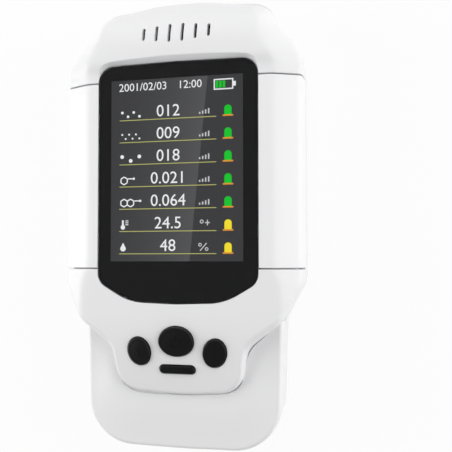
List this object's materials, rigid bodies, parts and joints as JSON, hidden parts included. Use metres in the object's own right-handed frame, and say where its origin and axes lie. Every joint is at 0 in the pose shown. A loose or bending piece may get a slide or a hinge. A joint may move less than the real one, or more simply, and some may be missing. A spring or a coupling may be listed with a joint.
{
  "type": "air quality monitor",
  "caption": "Handheld air quality monitor with a windowed display, keys on a sloping apron, a vented head and a stepped tail grip.",
  "frame": {"origin": "middle of the back face's box, on the surface it lies on", "axes": "+Z out of the display, +Y towards the head, +X to the display's right"},
  "size_m": [0.0886, 0.1624, 0.0356],
  "materials": {
    "shell_white": "moulded, fine satin",
    "panel_white": "moulded, smooth satin",
    "window_glass": "polished, black printed border",
    "adhesive_black": "matt tape",
    "display": "dark lit panel",
    "frame_steel": "stamped sheet",
    "ribbon_amber": "polyimide film",
    "connector_cream": "moulded",
    "key_black": "satin, slightly domed",
    "plunger_grey": "moulded",
    "switch_steel": "stamped",
    "circuit_green": "solder mask",
    "chip_black": "moulded epoxy",
    "screw_steel": "zinc plated",
    "sensor_blue": "satin",
    "motor_grey": "moulded",
    "fan_black": "moulded",
    "laser_brass": "turned",
    "foam_grey": "closed-cell foam",
    "mesh_grey": "woven filter",
    "sensor_cream": "moulded",
    "sensor_can": "drawn can",
    "cell_blue": "shrink sleeve",
    "lead_rubber": "insulated wire",
    "cable_white": "flat cable"
  },
  "bodies": {
    "case": {"front_cover": "shell_white", "back_cover": "shell_white", "tail_cover": "shell_white", "left_side_panel": "panel_white", "right_side_panel": "panel_white", "display_window": "window_glass", "window_adhesive": "adhesive_black", "lcd_panel": "display", "lcd_frame": "frame_steel", "lcd_ribbon": "ribbon_amber", "ribbon_connector": "connector_cream", "key_switches": "switch_steel", "key_board": "circuit_green", "key_cable": "ribbon_amber", "main_board": "circuit_green", "board_chips": "chip_black", "buzzer": "chip_black", "board_screws": "screw_steel", "case_screws": "screw_steel", "pm_sensor_base": "sensor_blue", "pm_sensor_lid": "sensor_blue", "fan_motor": "motor_grey", "laser_module": "laser_brass", "detector_board": "circuit_green", "inlet_seal": "foam_grey", "dust_mesh": "mesh_grey", "hcho_sensor": "sensor_cream", "voc_sensor": "sensor_can", "climate_sensor": "sensor_cream", "battery_cell": "cell_blue", "battery_pads": "foam_grey", "battery_leads": "lead_rubber", "battery_plug": "connector_cream", "charge_board": "circuit_green", "usb_socket": "frame_steel", "power_cable": "cable_white"},
    "power_key": {"power_key": "key_black", "power_plunger": "plunger_grey"},
    "left_key": {"left_key": "key_black", "left_plunger": "plunger_grey"},
    "right_key": {"right_key": "key_black", "right_plunger": "plunger_grey"},
    "menu_key": {"menu_key": "key_black", "menu_plunger": "plunger_grey"},
    "fan": {"fan_rotor": "fan_black"}
  },
  "joints": [
    {"name": "power_press", "type": "slide", "parent": "case", "child": "power_key", "axis": [0, 0.1908, -0.9816], "range_m": [0, 0.0004], "stiffness_N_per_m": 800},
    {"name": "left_press", "type": "slide", "parent": "case", "child": "left_key", "axis": [0, 0.1908, -0.9816], "range_m": [0, 0.0004], "stiffness_N_per_m": 800},
    {"name": "right_press", "type": "slide", "parent": "case", "child": "right_key", "axis": [0, 0.1908, -0.9816], "range_m": [0, 0.0004], "stiffness_N_per_m": 800},
    {"name": "menu_press", "type": "slide", "parent": "case", "child": "menu_key", "axis": [0, 0.1908, -0.9816], "range_m": [0, 0.0004], "stiffness_N_per_m": 800},
    {"name": "fan_spin", "type": "hinge", "parent": "case", "child": "fan", "pos_m": [-0.013, 0.05225, 0.0042], "axis": [0, 0, 1], "continuous": true}
  ]
}
